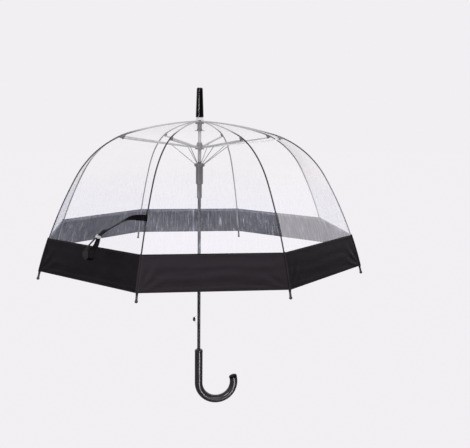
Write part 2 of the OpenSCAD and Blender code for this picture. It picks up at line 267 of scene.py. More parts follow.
# ---------------------------------------------------------------- materials
class Nodes:
    """A material and short ways to add nodes to it."""

    def __init__(self, name):
        self.material = bpy.data.materials.new(name)
        self.material.use_nodes = True
        self.tree = self.material.node_tree
        self.shader = self.tree.nodes["Principled BSDF"]

    def node(self, kind, inputs=None, **settings):
        """A node whose inputs are linked to sockets or set to values."""
        n = self.tree.nodes.new(kind)
        for key, value in settings.items():
            setattr(n, key, value)
        for key, value in (inputs or {}).items():
            if isinstance(value, bpy.types.NodeSocket):
                self.tree.links.new(value, n.inputs[key])
            else:
                n.inputs[key].default_value = value
        return n

    def math(self, operation, a, b=0.0, c=0.0):
        n = self.tree.nodes.new("ShaderNodeMath")
        n.operation = operation
        for k, value in enumerate((a, b, c)):
            if isinstance(value, bpy.types.NodeSocket):
                self.tree.links.new(value, n.inputs[k])
            else:
                n.inputs[k].default_value = value
        return n.outputs[0]

    def scaled(self, vector, scale):
        return self.node("ShaderNodeVectorMath", {0: vector, 1: scale}, operation="MULTIPLY").outputs[0]

    def axis(self, vector, k):
        """One coordinate of a vector."""
        return self.node("ShaderNodeSeparateXYZ", {0: vector}).outputs[k]

    def pattern(self, scale=(1, 1, 1)):
        """The piece's own coordinates, in metres: across, along, and one that each material explains."""
        given = self.node("ShaderNodeAttribute", attribute_name="pattern").outputs["Vector"]
        return self.scaled(given, scale)

    def place(self, scale=(1, 1, 1)):
        """The place in the object, in metres."""
        return self.scaled(self.node("ShaderNodeTexCoord").outputs["Object"], scale)

    def noise(self, vector, scale, detail=3.0, rough=0.5):
        return self.node(
            "ShaderNodeTexNoise", {"Vector": vector, "Scale": scale, "Detail": detail, "Roughness": rough}
        ).outputs[0]

    def ramp(self, value, low, high, out_low=0.0, out_high=1.0, smooth=False):
        """Maps low..high to out_low..out_high, and holds the ends."""
        return self.node(
            "ShaderNodeMapRange",
            {"Value": value, "From Min": low, "From Max": high, "To Min": out_low, "To Max": out_high},
            interpolation_type="SMOOTHSTEP" if smooth else "LINEAR",
        ).outputs[0]

    def mix(self, share, a, b):
        """Colour a, changing to b as share goes from 0 to 1."""
        n = self.tree.nodes.new("ShaderNodeMix")
        n.data_type = "RGBA"
        for key, value in ((0, share), (6, a), (7, b)):
            if isinstance(value, bpy.types.NodeSocket):
                self.tree.links.new(value, n.inputs[key])
            else:
                n.inputs[key].default_value = (*value, 1.0) if hasattr(value, "__len__") else value
        return n.outputs[2]

    def set(self, **values):
        """Inputs of the shader, with _ for a space in their names."""
        for key, value in values.items():
            socket = self.shader.inputs[key.replace("_", " ")]
            if isinstance(value, bpy.types.NodeSocket):
                self.tree.links.new(value, socket)
            else:
                socket.default_value = (*value, 1.0) if hasattr(value, "__len__") else value
        return self

    def bump(self, height, strength, distance):
        b = self.node("ShaderNodeBump", {"Height": height, "Strength": strength, "Distance": distance})
        self.tree.links.new(b.outputs[0], self.shader.inputs["Normal"])
        return self


def moulded(name, dark, light, rough, grain=900.0, coat=0.0, wear=None, gloss=0.5):
    """Moulded plastic: fine grain, cloudy tone, uneven gloss. wear is the colour of its rubbed edges."""
    m = Nodes(name)
    at = m.place()
    cloud = m.noise(at, 38.0, 4.0, 0.6)
    fine = m.noise(at, grain, 2.0, 0.5)
    colour = m.mix(m.ramp(cloud, 0.3, 0.7), dark, light)
    if wear:
        edge = m.node("ShaderNodeNewGeometry").outputs["Pointiness"]
        rub = m.math("MULTIPLY", m.ramp(edge, 0.52, 0.60, 0.0, 0.6), m.ramp(m.noise(at, 210.0), 0.35, 0.65))
        colour = m.mix(rub, colour, wear)
    uneven = m.ramp(m.math("ADD", cloud, fine), 0.6, 1.4, rough * 0.85, rough * 1.2)
    m.set(Base_Color=colour, Roughness=uneven, Specular_IOR_Level=gloss)
    m.set(Coat_Weight=coat, Coat_Roughness=0.24)
    m.bump(fine, 0.25, 0.0002)
    return m.material


def metal(name, dark, light, rough, stretch=(1, 1, 0.06), metallic=1.0, painted_highlight_above=None):
    """Drawn or pressed metal with fine lines along stretch's short axis and a mottled surface.

    The last argument, when given, is (height, colour): above that height the metal is painted in that pale
    colour, a painted highlight for strong light there.
    """
    m = Nodes(name)
    lines = m.noise(m.place(stretch), 1500.0, 3.0, 0.6)
    cloud = m.noise(m.place(), 60.0, 4.0, 0.6)
    colour = m.mix(m.ramp(m.math("ADD", lines, cloud), 0.7, 1.3), dark, light)
    # painted highlight: above the given height the colour turns pale, standing in for strong light
    if painted_highlight_above:
        height, painted_highlight_colour = painted_highlight_above
        up = m.math("MULTIPLY_ADD", cloud, 0.004, m.axis(m.place(), 2))
        painted_highlight_tone = m.mix(m.ramp(lines, 0.3, 0.7), tuple(0.75 * c for c in painted_highlight_colour), painted_highlight_colour)
        colour = m.mix(m.ramp(up, height, height + 0.003, smooth=True), colour, painted_highlight_tone)
    m.set(
        Base_Color=colour,
        Metallic=metallic,
        Roughness=m.ramp(m.math("ADD", lines, cloud), 0.6, 1.4, rough * 0.8, rough * 1.25),
    )
    m.bump(lines, 0.3, 0.00008)
    return m.material


def channel(name, outside, inside, rough, painted_highlight_above):
    """Enamelled rib: dark outside, painted paler towards the shaft, and painted pale grey above the last
    height given, a painted highlight for the light on the crown.
    """
    m = Nodes(name)
    radial = m.node("ShaderNodeVectorMath", {0: m.place((1, 1, 0))}, operation="NORMALIZE").outputs[0]
    facing_both = {0: m.node("ShaderNodeTexCoord").outputs["Normal"], 1: radial}
    outwards = m.node("ShaderNodeVectorMath", facing_both, operation="DOT_PRODUCT").outputs["Value"]
    lines = m.noise(m.place((1, 1, 0.1)), 1500.0, 3.0, 0.6)
    cloud = m.noise(m.place(), 60.0, 4.0, 0.6)
    uneven = m.ramp(m.math("ADD", lines, cloud), 0.7, 1.3, 0.8, 1.25)
    # the side towards the shaft is painted paler: painted light standing in for the veil that the hazy film
    # lays over the ribs behind it
    colour = m.mix(m.ramp(outwards, -0.45, 0.05, smooth=True), inside, outside)
    # above the given height the rib is painted pale grey: a painted highlight for the strong light on the
    # crown
    painted_crown_highlight = m.ramp(m.axis(m.place(), 2), painted_highlight_above, painted_highlight_above + 0.014, smooth=True)
    colour = m.scaled(m.mix(painted_crown_highlight, colour, (0.42, 0.41, 0.42)), uneven)
    m.set(Base_Color=colour, Roughness=m.math("MULTIPLY", uneven, rough), Specular_IOR_Level=0.1)
    m.bump(lines, 0.3, 0.00008)
    return m.material


def film(name, haze, streak=1.0, rim=0.42, low_tint=(0.79, 0.825, 1.0)):
    """Clear vinyl film, seen by its alpha: haze and rain marks in the low part, and a veil at a low angle.

    The pattern is across, along from the crown, and the distance from the seam. low_tint is the haze's
    colour near the hem.
    """
    m = Nodes(name)
    pale = (0.98, 0.95, 0.975)
    along, from_seam = m.axis(m.pattern(), 1), m.axis(m.pattern(), 2)
    long_lines = m.noise(m.pattern((260.0, 6.0, 1.0)), 1.0, 3.0, 0.65)
    lines = m.ramp(long_lines, 0.57, 0.72, 0.0, 0.34 * streak, smooth=True)
    gaps = m.ramp(m.noise(m.pattern((60.0, 30.0, 1.0)), 1.0, 3.0, 0.6), 0.40, 0.64, smooth=True)
    rain = m.noise(m.pattern((400.0, 34.0, 1.0)), 1.0, 4.0, 0.72)
    specks = m.ramp(rain, 0.50, 0.70, 0.0, 0.20 * streak)
    cloud = m.ramp(m.noise(m.pattern((9.0, 14.0, 1.0)), 1.0, 3.0, 0.5), 0.3, 0.7, -0.02, 0.035)
    glance = m.math("POWER", m.node("ShaderNodeLayerWeight", {"Blend": 0.5}).outputs["Facing"], 4.0)
    glance = m.math("MULTIPLY", glance, m.ramp(along, 0.02, 0.12, 0.3, 1.0))
    veil = m.ramp(along, 0.27, 0.385, min(0.35 * haze, 0.037), haze, smooth=True)
    shade = m.math("ADD", m.math("MULTIPLY_ADD", glance, rim, veil), cloud)
    marks = m.math("ADD", m.math("MULTIPLY", lines, gaps), specks)
    shade = m.math("MULTIPLY_ADD", marks, m.ramp(along, 0.34, 0.39, 0.06, 1.0, smooth=True), shade)
    # pressed against a rib the film looks wet and clear
    shade = m.math("MULTIPLY", shade, m.ramp(from_seam, 0.0018, 0.0042, 0.15, 1.0, smooth=True))
    shade = m.math("MINIMUM", m.math("MAXIMUM", shade, 0.03), 0.78)
    tint = m.mix(m.ramp(along, 0.35, 0.40, smooth=True), pale, low_tint)
    m.set(Base_Color=m.mix(m.ramp(rain, 0.53, 0.72), tint, pale), Alpha=shade)
    m.set(Roughness=m.ramp(long_lines, 0.3, 0.8, 0.16, 0.3), Specular_IOR_Level=0.5)
    m.bump(m.noise(m.pattern((16.0, 16.0, 1.0)), 1.0, 3.0, 0.5), 0.35, 0.002)
    return m.material


def cloth(name, dark, light, rough, weave=2200.0, sheen=0.12, reverse=None, gloss=0.3):
    """Woven polyester: plain weave, thread-to-thread tone and soft mottling.

    reverse is the colour where the pattern's third number is 2 in place of 1.
    """
    m = Nodes(name)
    at = m.pattern((weave, weave, 1.0))
    warp = m.math("SINE", m.math("MULTIPLY", m.axis(at, 0), 3.14159))
    weft = m.math("SINE", m.math("MULTIPLY", m.axis(at, 1), 3.14159))
    knit = m.math("MULTIPLY", warp, weft)
    slub = m.noise(m.pattern((900.0, 60.0, 1.0)), 1.0, 2.0, 0.6)
    cloud = m.noise(m.pattern((26.0, 34.0, 1.0)), 1.0, 4.0, 0.55)
    uneven = m.math("ADD", m.math("MULTIPLY", slub, 0.5), m.math("MULTIPLY", cloud, 0.6))
    tone = m.math("MULTIPLY_ADD", knit, 0.12, uneven)
    colour = m.mix(m.ramp(tone, 0.35, 0.75), dark, light)
    if reverse:
        back = m.mix(m.ramp(tone, 0.35, 0.75), tuple(0.7 * c for c in reverse), reverse)
        colour = m.mix(m.ramp(m.axis(m.pattern(), 2), 1.0, 2.0), colour, back)
    m.set(
        Base_Color=colour,
        Roughness=m.ramp(tone, 0.3, 0.8, rough * 0.9, rough * 1.12),
        Sheen_Weight=sheen,
        Sheen_Roughness=0.4,
        Specular_IOR_Level=gloss,
        Specular_Tint=(1.0, 0.84, 0.98),
    )
    m.bump(m.math("MULTIPLY_ADD", knit, 0.5, m.math("MULTIPLY", slub, 0.35)), 0.4, 0.00012)
    return m.material


def dress(names, material):
    """A better material on CAD nodes that keep their shape."""
    for name in names:
        for slot in nodes[name].material_slots:
            slot.material = material


RIBS = range(1, 9)
EVEN = (1, 1, 1)
ROLLED = (0.2, 0.2, 1)
# the shaft's top, above 0.531 m, is painted pale: a painted highlight for the strong light there
M_SHAFT = metal("shaft_enamel", (0.014, 0.014, 0.015), (0.030, 0.029, 0.032), 0.26, metallic=0.0,
                painted_highlight_above=(0.531, (0.52, 0.52, 0.53)))
M_TIP = moulded("gloss_tip", (0.0010, 0.0010, 0.0010), (0.0022, 0.0021, 0.0022), 0.13, 1600.0)
M_COLLAR = moulded("clear_collar", (0.62, 0.62, 0.64), (0.74, 0.74, 0.76), 0.2)
M_NOTCH = moulded("crown_plastic", (0.045, 0.044, 0.046), (0.07, 0.068, 0.07), 0.38)
M_HUB = moulded("hub_plastic", (0.17, 0.167, 0.17), (0.25, 0.246, 0.25), 0.36, wear=(0.4, 0.4, 0.4))
M_RUNNER = moulded("runner_plastic", (0.060, 0.058, 0.060), (0.090, 0.087, 0.090), 0.34,
                   wear=(0.16, 0.16, 0.16))
M_WIRE = metal("bright_wire", (0.34, 0.34, 0.35), (0.50, 0.50, 0.51), 0.3, EVEN, metallic=0.4)
M_GRIP = moulded("grip_gloss", (0.0225, 0.0180, 0.0222), (0.032, 0.0262, 0.0316), 0.30, 1600.0, coat=0.7)
M_GRIP_END = moulded("grip_end", (0.003, 0.0027, 0.003), (0.006, 0.0055, 0.006), 0.42, gloss=0.08)
# above 0.598 m the ribs are painted pale: a painted highlight on the crown
M_RIB = channel("rib_enamel", (0.005, 0.005, 0.0055), (0.24, 0.237, 0.245), 0.42, 0.598)
M_FIT = moulded("fitting_plastic", (0.028, 0.027, 0.028), (0.046, 0.045, 0.046), 0.34,
                wear=(0.12, 0.12, 0.12))
M_STEEL = metal("pressed_steel", (0.44, 0.44, 0.45), (0.62, 0.62, 0.63), 0.36, ROLLED, metallic=0.25)

dress(["shaft"], M_SHAFT)
dress(["ferrule"], M_TIP)
dress(["top_collar"], M_COLLAR)
dress(["top_notch"], M_NOTCH)
dress(["notch_wire"], M_WIRE)
dress(["upper_runner"], M_HUB)
dress(["lower_sleeve"], M_RUNNER)
dress(["handle"], M_GRIP)
dress([f"rib_{i}" for i in RIBS], M_RIB)
dress([f"rib_fittings_{i}" for i in RIBS], M_FIT)
dress([f"stretcher_{i}" for i in RIBS], M_STEEL)
dress([f"strut_{i}" for i in RIBS], M_WIRE)

# gore 3's haze is painted thicker and less blue: a painted reflection of the light that catches that film
HAZES = {1: 0.105, 2: 0.105, 4: 0.115, 5: 0.10, 6: 0.10, 7: 0.10, 8: 0.105}
M_FILMS = {i: film(f"film_{i}", haze) for i, haze in HAZES.items()}
M_FILMS[3] = film("film_3", 0.32, rim=0.25, low_tint=(0.94, 0.92, 0.99))
M_WELD = film("film_weld", 0.01, 0.12, rim=0.15)
M_CLOTH = cloth("hem_satin", (0.0048, 0.0034, 0.0046), (0.0100, 0.0076, 0.0098), 0.44, sheen=0.02)
M_TAPE = cloth("seam_tape", (0.0075, 0.0065, 0.0075), (0.017, 0.015, 0.017), 0.5, 1700.0, sheen=0.05)
# the ribbon's back is painted paler: painted light on the side of its loop that faces up
M_RIBBON = cloth("strap_ribbon", (0.0010, 0.0010, 0.0014), (0.0034, 0.0032, 0.0042), 0.5, 1500.0, sheen=0.0,
                 reverse=(0.027, 0.026, 0.029), gloss=0.12)
M_THREAD = cloth("black_thread", (0.016, 0.015, 0.017), (0.035, 0.033, 0.036), 0.45, 6000.0)
M_SNAP = metal("snap_plating", (0.60, 0.61, 0.63), (0.82, 0.83, 0.85), 0.30, EVEN, metallic=0.6)
M_SPRING = metal("spring_wire", (0.32, 0.32, 0.33), (0.46, 0.46, 0.47), 0.32, EVEN, metallic=0.4)
M_BUTTON = moulded("catch_button", (0.004, 0.004, 0.004), (0.008, 0.008, 0.008), 0.28)
M_STRIP = metal("catch_strip", (0.62, 0.62, 0.63), (0.8, 0.8, 0.81), 0.22, ROLLED)


def finish_piece(made, material, stands_for=()):
    """The piece with its material, and with the CAD nodes it takes the place of hidden."""
    made.data.materials.append(material)
    if stands_for:
        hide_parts(*stands_for)
    return made


def fold(made):
    """Bakes the piece's place into its mesh."""
    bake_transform(made)


# ---------------------------------------------------------------- the clear film
FILM_END = length_at(FILM_LOW_Z, FILM_OUT)
HEM_START, HEM_END = length_at(HEM_TOP_Z, HEM_OUT), length_at(HEM_LOW_Z, HEM_OUT)
HEM_HIGH = HEM_END - HEM_START
SAG = 0.0046
SEAM_GAP = 0.00012  # between a gore's edge and the middle of the rib


def film_sag(s):
    """How far the film's middle is pulled in between two ribs."""
    t = min(1.0, s / length_at(HEM_TOP_Z + 0.012))
    return SAG * max(0.0, math.sin(math.pi * t ** 1.15)) ** 1.2


def film_point(i, s, u):
    """A point of gore i's surface: s along the ribs, u from -1 at rib i to 1 at the next."""
    r, z, _ = on_line(s, FILM_OUT)
    half_width = r * SIN_HALF - SEAM_GAP
    edge = 1 - u * u
    depth = film_sag(s) * edge
    ripple = 0.0005 * wave(u * half_width, s, i, 0.05) * edge * (film_sag(s) / SAG)
    return turned(gore_azimuth(i), r * COS_HALF - depth + ripple, u * half_width, z - 0.35 * depth)


ROWS, COLUMNS = 81, 33
film_steps = np.linspace(0.0003, FILM_END, ROWS)


def rib_gap(s):
    """Distance between two ribs' seams at length s."""
    return 2 * on_line(s, FILM_OUT)[0] * SIN_HALF


def film_gore(i):
    """One open sheet of film. Its pattern is across, along, and the distance from the seam."""
    points, pattern = [], []
    for s in film_steps:
        for u in np.linspace(-1, 1, COLUMNS):
            points.append(film_point(i, s, u))
            pattern.append((u * 0.15 + 0.7 * i, s, (1 - abs(u)) * rib_gap(s) / 2))
    return piece(f"film_gore_{i}", points, grid_faces(ROWS, COLUMNS, flip=True), pattern)


gores = {}
for i in RIBS:
    gores[i] = finish_piece(film_gore(i), M_FILMS[i], [f"gore_{i}"])
    fold(gores[i])

# ---------------------------------------------------------------- welded seams and the loops on the ribs
WELD_HALF, WELD_ROWS, WELD_COLUMNS = 0.0024, 340, 7
WELD_DEEP = 0.00007
FAR_FROM_SEAM = 0.01  # the weld keeps its own haze
LOOP_HEIGHTS = (0.604, 0.545, 0.455, 0.385)
LOOP_R, LOOP_WIRE_R, LOOP_STEP, LOOP_SIDES = 0.00195, 0.00028, 0.0009, 20


def film_weld(i):
    """Welded seam over rib i, with the weld's crosswise dots pressed in."""
    points, pattern = [], []
    for k, s in enumerate(np.linspace(0.012, length_at(HEM_TOP_Z - 0.002), WELD_ROWS)):
        r, z, slope = on_line(s, FILM_OUT + 0.00022)
        wide = WELD_HALF * min(1.0, 0.35 + s / 0.05)
        press = WELD_DEEP if k % 4 < 2 else 0.0
        for t in np.linspace(-1, 1, WELD_COLUMNS):
            lift = press if abs(t) < 0.75 else 0.0
            y = wide * t
            x = r - wide * abs(t) ** 1.35 * math.tan(HALF) - lift * math.sin(slope)
            points.append(turned(rib_azimuth(i), x, y, z - lift * math.cos(slope)))
            pattern.append((y + 0.9 * i, s, FAR_FROM_SEAM))
    return piece(f"film_weld_{i}", points, grid_faces(WELD_ROWS, WELD_COLUMNS, flip=True), pattern)


def rib_loops(i):
    """Clear loops, in pairs, that hold the film to rib i from inside."""
    loops = Batch()
    for loop_z in LOOP_HEIGHTS:
        r, z, slope = on_line(length_at(loop_z))
        for step in (-LOOP_STEP, LOOP_STEP):
            ring = []
            for q in range(LOOP_SIDES):
                turn = 2 * math.pi * q / LOOP_SIDES
                x = r + LOOP_R * math.cos(turn) * math.sin(slope) + step * math.cos(slope)
                up = z + LOOP_R * math.cos(turn) * math.cos(slope) - step * math.sin(slope)
                ring.append(turned(rib_azimuth(i), x, LOOP_R * math.sin(turn), up))
            loops.tube(ring, LOOP_WIRE_R, sides=6, closed=True)
    return loops.make(f"rib_loops_{i}")


for make in (film_weld, rib_loops):
    for i in RIBS:
        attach(finish_piece(make(i), M_WELD), f"rib_{i}")


# ---------------------------------------------------------------- the fabric hem
PANEL_HALF = 0.155  # about half the width of a hem panel, for its folds and weave
hem_width = 2 * on_line(HEM_END, HEM_OUT)[0] * SIN_HALF


def hem_wrinkle(i, u, v):
    """Soft folds of the satin: long ones along the band, and short ones drawn to the lower corners."""
    x = u * PANEL_HALF
    y = v * 0.075
    edge = max(0.0, 1 - abs(u) ** 6) * min(1.0, v / 0.12) * min(1.0, (1 - v) / 0.10)
    drift = 0.35 * wave(x, 0.0, i + 3.0, 0.09)
    long_folds = 0.55 * math.sin(2 * math.pi * (v * 3.1 + drift + 0.13 * i))
    long_folds *= 0.45 + 0.55 * wave(x, y * 3, i, 0.07)
    soft = 0.8 * wave(x * 0.55, y * 1.6, i + 11.0, 0.045)
    pulled = 0.0
    for side, amount in ((1, 1.0), (-1, 0.65)):
        dx, dy = (side * PANEL_HALF - x) * side, 0.078 - y
        far = math.hypot(dx, dy)
        fan = math.sin(math.atan2(dy, dx) * 13.0 + i)
        pulled += amount * fan * math.exp(-((far - 0.028) / 0.030) ** 2) * min(1.0, far / 0.012)
    return 0.001 * edge * (long_folds + soft * 0.9 + pulled * 1.15)


def hem_point(i, v, u, out):
    """A point of hem panel i: v from 0 at the top to 1 at the lower edge, u from -1 to 1 across."""
    r, z, slope = on_line(HEM_START + HEM_HIGH * v, HEM_OUT + out)
    half_width = r * SIN_HALF - 0.00010
    # the folds stand outwards only, so that the cloth stays clear of the film behind it
    push = max(hem_wrinkle(i, u, v), -0.00035) + 0.0005 * max(0.0, 1 - u ** 4) * math.sin(math.pi * v)
    x = r * COS_HALF + push * math.sin(slope)
    return turned(gore_azimuth(i), x, u * half_width, z + push * math.cos(slope))


def hem_band(i):
    """Hem panel i: a doubled edge along the bottom, a narrow one along the top, and a soft roll at both."""
    rows, columns = 34, 73
    outer, inner, pattern = [np.zeros((rows, columns, 3)) for _ in range(3)]
    for a in range(rows):
        v = a / (rows - 1)
        doubled = 0.00032 * (1 if v > 0.885 else 0) + 0.00018 * (1 if v < 0.075 else 0)
        roll = 0.75 if a in (0, rows - 1) else 1.0
        for b in range(columns):
            u = -1 + 2 * b / (columns - 1)
            outer[a, b] = hem_point(i, v, u, (HEM_THICK + doubled) * roll)
            inner[a, b] = hem_point(i, v, u, 0.00012 if roll < 1 else 0.0)
            pattern[a, b] = (u * PANEL_HALF + 0.4 * i, v * HEM_HIGH, i)
    return shell(f"hem_band_{i}", outer, inner, pattern)


HEM_SEAMS = ((0.045, 0.00064), (0.862, 0.0005), (0.975, 0.0008))  # place down the band, distance outside it
STITCH_PITCH, STITCH_SHARE = 0.0032, 0.72
SEWN_TO = 0.985


def hem_stitches(i):
    """Three rows of stitches along hem panel i."""
    stitches = Batch()
    count = int(hem_width * SEWN_TO / STITCH_PITCH)
    for v, out in HEM_SEAMS:
        slope = on_line(HEM_START + HEM_HIGH * v)[2]
        normal = turned(gore_azimuth(i), math.sin(slope), 0.0, math.cos(slope))
        for k in range(count):
            start = -SEWN_TO + 2 * SEWN_TO * k / count
            end = start + 2 * SEWN_TO / count * STITCH_SHARE
            stitches.dash(hem_point(i, v, start, out), hem_point(i, v, end, out), normal, 0.00055)
    return stitches.make(f"hem_stitches_{i}")


for i in RIBS:
    band = finish_piece(hem_band(i), M_CLOTH, [f"hem_{i}"])
    fold(band)
    thread = finish_piece(hem_stitches(i), M_THREAD)
    fold(thread)

    # clear piping where the film is sewn to the band
    piping = Batch()
    piping.tube([hem_point(i, -0.012, u, 0.0002) for u in np.linspace(-0.995, 0.995, 41)], 0.00055)
    piping = finish_piece(piping.make(f"hem_piping_{i}"), M_WELD)
    fold(piping)

# ---------------------------------------------------------------- tape and tip pockets on the hem's seams
TAPE_HALF = 0.0019
TAPE_STITCHES, TAPE_STITCH_Y = 26, 0.0013
POCKET_START, POCKET_LONG, POCKET_R = 0.011, 0.0185, 0.0024


def hem_tape(i):
    """Folded tape over the seam between two hem panels."""
    rows, columns = 40, 9
    outer, inner, pattern = [np.zeros((rows, columns, 3)) for _ in range(3)]
    for a in range(rows):
        v = a / (rows - 1)
        s = HEM_START - 0.0010 + (HEM_HIGH + 0.0018) * v
        for b in range(columns):
            t = -1 + 2 * b / (columns - 1)
            plump = 0.00022 * (1 - t * t) + 0.00006 * math.sin(v * 61 + i)
            for grid, out in ((outer, HEM_OUT + 0.0012 + plump), (inner, HEM_OUT + 0.00086)):
                r, z, _ = on_line(s, out)
                x = r - TAPE_HALF * abs(t) ** 1.4 * math.tan(HALF)
                grid[a, b] = turned(rib_azimuth(i), x, TAPE_HALF * t, z)
            pattern[a, b] = (t * TAPE_HALF, s, i)
    return shell(f"hem_tape_{i}", outer, inner, pattern)


def tape_stitches(i):
    """A row of stitches down both sides of the tape."""
    threads = Batch()
    for side in (-1, 1):
        for k in range(TAPE_STITCHES):
            ends = []
            for at in (k, k + 0.7):
                r, z, _ = on_line(HEM_START + HEM_HIGH * at / TAPE_STITCHES, HEM_OUT + 0.00125)
                x = r - 0.0011 * math.tan(HALF) * 0.8
                ends.append(turned(rib_azimuth(i), x, side * TAPE_STITCH_Y, z))
            threads.dash(*ends, turned(rib_azimuth(i), 1.0, side * 0.38, 0.25), 0.0005)
    return threads.make(f"tape_stitches_{i}")


def tip_pocket(i):
    """The gathered pocket that takes the rib's end."""
    rings, sides = 12, 20
    points, pattern = [], []
    for a in range(rings):
        t = a / (rings - 1)
        s = HEM_END - POCKET_START + POCKET_LONG * t
        r, z, slope = on_line(s)
        size = POCKET_R + 0.0004 * math.sin(math.pi * t) - 0.00035 * t
        for q in range(sides):
            turn = 2 * math.pi * q / sides
            pucker = 1 + 0.05 * math.sin(5 * turn + i) * t
            x = r + size * pucker * math.cos(turn) * math.sin(slope)
            up = z + size * pucker * math.cos(turn) * math.cos(slope)
            points.append(turned(rib_azimuth(i), x, size * pucker * math.sin(turn), up))
            pattern.append((turn * size, s, i))
    made = piece(f"tip_pocket_{i}", points, grid_faces(rings, sides, close=True), pattern)
    thick = made.modifiers.new("cloth", "SOLIDIFY")
    thick.thickness, thick.offset = 0.0003, 1.0
    return made


for i in RIBS:
    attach(finish_piece(hem_tape(i), M_TAPE), f"rib_{i}")
    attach(finish_piece(tape_stitches(i), M_THREAD), f"rib_{i}")
    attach(finish_piece(tip_pocket(i), M_TAPE), f"rib_{i}")


# ---------------------------------------------------------------- the tie strap on gore 1
def strap_point(p):
    """The place of a point given in mm as (sideways from the gore's middle, height, distance off film)."""
    y, z, off = (c / 1000 for c in p)
    r, h, slope = on_line(length_at(z, FILM_OUT), FILM_OUT)
    flat_slope = math.atan2(math.sin(slope), math.cos(slope) * COS_HALF)
    x = r * COS_HALF + off * math.sin(flat_slope)
    return turned(gore_azimuth(1), x, y, h + off * math.cos(flat_slope))


STRAP_WIDE = 0.0135
STRAP_HALF, STRAP_EDGE = 0.00045, 0.00010  # half its thickness, and the extra on its woven edges
STITCHES_ACROSS = 7
# the ribbon's two edges, from the rib to its free end
STRAP_HIGH = [
    (136, 442, 1.6), (112, 440, 2.2), (92, 435, 3.0), (71, 423, 3.6), (52, 412, 3.6), (37, 404, 3.8),
    (27, 401, 5), (24, 395, 6.5), (21, 390, 8), (21, 384, 11), (23, 378, 14), (22, 369, 16),
    (15, 358, 17), (14, 349, 17), (13, 341, 15.5), (2, 337, 11.5), (-9, 341, 9), (-14, 350, 9),
    (-10, 360, 5), (-6, 367, 4.5), (1, 375, 4.5), (10, 383, 5.5), (17, 388, 7),
]
STRAP_LOW = [
    (141, 430, 1.6), (116, 429, 2.4), (93, 427, 4.6), (81, 420, 10.5), (61, 409, 10), (47, 401, 10),
    (40, 397, 9), (35, 392, 10), (33, 386, 11.5), (33, 383, 12), (32, 379, 10.5), (30, 369, 9),
    (25, 358, 9), (23, 349, 9), (22, 342, 8), (11, 339, 4.5), (2, 342, 3.6), (-3, 353, 3.4),
    (1, 362, 7), (4, 366, 10), (12, 374, 11), (19, 381, 11.5), (27, 386, 13),
]
high, low = spline(STRAP_HIGH, 8), spline(STRAP_LOW, 8)
length, across = len(high), 9
outer, inner, pattern, middle = [np.zeros((length, across, 3)) for _ in range(4)]
for a in range(length):
    for b in range(across):
        middle[a, b] = strap_point(high[a] + (low[a] - high[a]) * b / (across - 1))
run = np.concatenate([[0], np.cumsum(np.linalg.norm(np.diff(middle[:, across // 2], axis=0), axis=1))])
normals = np.cross(np.gradient(middle, axis=0), np.gradient(middle, axis=1))
normals /= np.linalg.norm(normals, axis=2, keepdims=True)
for a in range(length):
    for b in range(across):
        half = STRAP_HALF + (STRAP_EDGE if b in (0, across - 1) else 0.0)
        outer[a, b] = middle[a, b] + normals[a, b] * half
        inner[a, b] = middle[a, b] - normals[a, b] * half
        pattern[a, b] = (b / (across - 1) * STRAP_WIDE, run[a], 1.0)
ribbon = shell("strap_ribbon", outer, inner, pattern, reverse=1.0)
# real film takes no shadow: the ribbon's would show on the haze behind it
ribbon.visible_shadow = ribbon.visible_diffuse = False
finish_piece(ribbon, M_RIBBON, ["tie_strap"])
fold(ribbon)

sewn = Batch()
for row in (3, 5):
    left, right = Vector(outer[row, 0]), Vector(outer[row, -1])
    for k in range(STITCHES_ACROSS):
        a, b = [left.lerp(right, (k + at) / STITCHES_ACROSS) for at in (0.15, 0.85)]
        for sign in (1, -1):
            lift = Vector(normals[row, across // 2]) * sign * 0.0004
            sewn.dash(a + lift, b + lift, lift, 0.0006)
sewn = finish_piece(sewn.make("strap_stitches"), M_THREAD)
fold(sewn)


def facing(at, normal):
    """A matrix that puts a turned shape at a point, its axis along normal."""
    return Matrix.Translation(Vector(at)) @ Vector(normal).to_track_quat("Z", "Y").to_matrix().to_4x4()


# the snap's outline, as (radius, height)
CAP = [(0.0002, 0.0004), (0.0052, 0.0004), (0.0056, 0.0008), (0.0054, 0.0013), (0.0047, 0.0016),
       (0.0042, 0.0015), (0.0037, 0.0019), (0.0024, 0.0026), (0.0010, 0.0029), (0.0001, 0.00295)]
SOCKET = [(r * 0.8, h * 0.7) for r, h in CAP]
# the cap lies on the strap's fold, and its socket stands on the free end beside it
snap = Batch()
snap.lathe(CAP, facing(strap_point((32, 384, 16.5)), (0.12, -0.34, 0.93)))
snap.lathe(SOCKET, facing(strap_point((24, 386.5, 15)), (-0.80, -0.20, 0.55)))
snap = finish_piece(snap.make("strap_snap_cap"), M_SNAP, ["strap_snap"])
fold(snap)

# ---------------------------------------------------------------- spring between the runner and the sleeve
COIL_R, COIL_WIRE_R, COIL_TURNS, COIL_STEPS = 0.00475, 0.0004, 11, 28
low_end, high_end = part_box("main_spring")[0].z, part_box("main_spring")[1].z
coil, path = Batch(), []
for k in range(COIL_TURNS * COIL_STEPS + 1):
    t = k / (COIL_TURNS * COIL_STEPS)
    # the end turns lie close, the rest are open
    rise = (high_end - low_end - 2 * COIL_WIRE_R) * (t - 0.045 * math.sin(2 * math.pi * t))
    turn = 2 * math.pi * COIL_TURNS * t
    path.append((COIL_R * math.cos(turn), COIL_R * math.sin(turn), low_end + COIL_WIRE_R + rise))
coil.tube(path, COIL_WIRE_R)
spring = finish_piece(coil.make("spring_coil"), M_SPRING, ["main_spring"])
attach(spring, "runner")
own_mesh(spring)

# ---------------------------------------------------------------- catch: steel strip, pin and black button
CATCH_PIVOT_Z = 0.100
